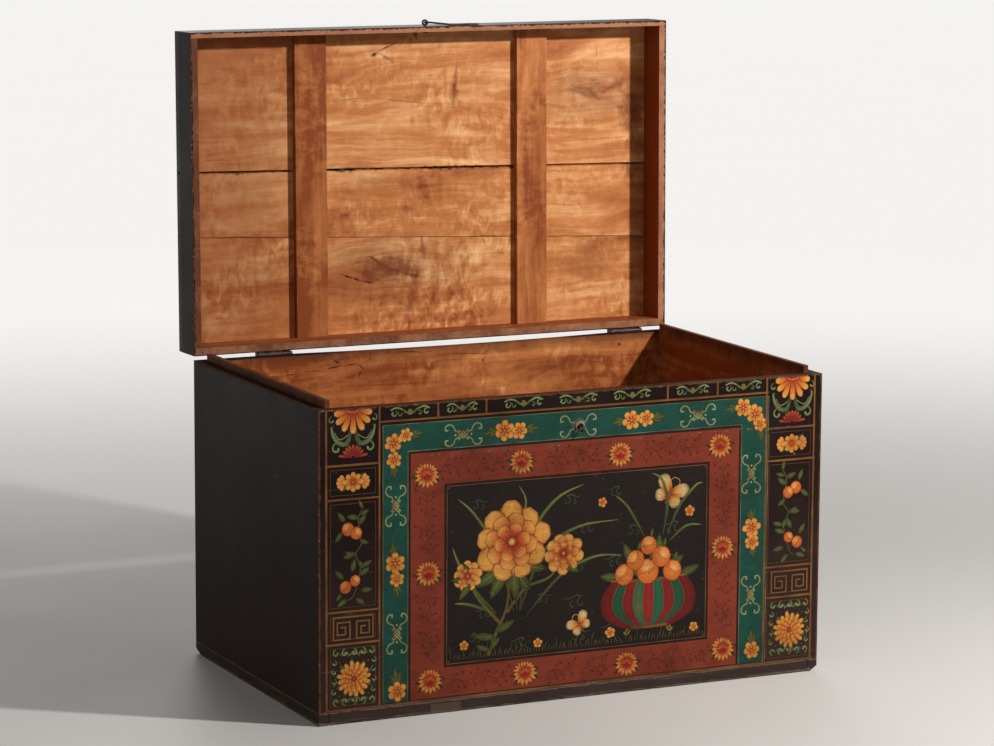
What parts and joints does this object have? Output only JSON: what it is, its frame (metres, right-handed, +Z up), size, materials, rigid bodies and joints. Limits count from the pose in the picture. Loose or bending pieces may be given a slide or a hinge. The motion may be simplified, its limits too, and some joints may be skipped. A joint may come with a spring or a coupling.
{
  "type": "trunk",
  "caption": "Painted camphor-wood trunk with finger-jointed walls, a deep hinged lid that stops just past upright, inner lips, and an iron hasp over a staple.",
  "frame": {"origin": "on the floor, under the middle of the box that the trunk fills with its lid open", "axes": "+X to the right along the front as someone facing it sees it, +Y from the front to the back, +Z up"},
  "size_m": [0.88, 0.6282, 1.038],
  "materials": {
    "painted_front": "painted lacquer on camphor wood, worn at the edges",
    "case_lacquer": "scuffed black lacquer outside, bare camphor wood inside",
    "lid_rim_lacquer": "scuffed black lacquer outside, bare camphor wood inside",
    "lid_camphor": "bare camphor wood inside, black lacquer outside",
    "batten_camphor": "bare camphor wood",
    "bottom_camphor": "bare camphor wood",
    "base_lacquer": "dull black lacquer, worn and chipped",
    "bamboo": "bare",
    "iron": "dark wrought iron, lightly rusted"
  },
  "bodies": {
    "case": {"front_board_upper": "painted_front", "front_board_lower": "painted_front", "back_board_upper": "case_lacquer", "back_board_lower": "case_lacquer", "left_side_upper": "case_lacquer", "left_side_lower": "case_lacquer", "right_side_upper": "case_lacquer", "right_side_lower": "case_lacquer", "left_base_rail": "base_lacquer", "right_base_rail": "base_lacquer", "back_base_rail": "base_lacquer", "front_base_rail": "base_lacquer", "base_patch": "base_lacquer", "bottom_board_front": "bottom_camphor", "bottom_board_middle": "bottom_camphor", "bottom_board_back": "bottom_camphor", "bottom_batten_left": "bottom_camphor", "bottom_batten_middle": "bottom_camphor", "bottom_batten_right": "bottom_camphor", "left_hinge_case_leaf": "iron", "left_hinge_pin": "iron", "right_hinge_case_leaf": "iron", "right_hinge_pin": "iron", "hinge_nails_case": "iron", "front_staple": "iron", "base_pegs": "bamboo", "bottom_pegs": "bamboo"},
    "lid": {"lid_rim_front": "lid_rim_lacquer", "lid_rim_rear": "lid_rim_lacquer", "lid_rim_left": "lid_rim_lacquer", "lid_rim_right": "lid_rim_lacquer", "lid_board_rear": "lid_camphor", "lid_board_middle": "lid_camphor", "lid_board_front": "lid_camphor", "lid_batten_left": "batten_camphor", "lid_batten_right": "batten_camphor", "left_hinge_lid_leaf": "iron", "right_hinge_lid_leaf": "iron", "hinge_nails_lid": "iron", "lid_pegs": "bamboo"},
    "hasp_eye": {"hasp_eye": "iron"},
    "hasp": {"hasp": "iron"}
  },
  "joints": [
    {"name": "lid_hinge", "type": "hinge", "parent": "case", "child": "lid", "pos_m": [0, 0.23456, 0.49225], "axis": [1, 0, 0], "range_deg": [0, 91]},
    {"name": "hasp_eye_swivel", "type": "hinge", "parent": "lid", "child": "hasp_eye", "pos_m": [-0.01, 0.26425, 1.03251], "axis": [0, -0.0175, -0.9998], "continuous": true},
    {"name": "hasp_swing", "type": "hinge", "parent": "hasp_eye", "child": "hasp", "pos_m": [-0.01, 0.26425, 1.03251], "axis": [-0.1736, -0.9847, 0.0172], "range_deg": [0, 180]}
  ]
}
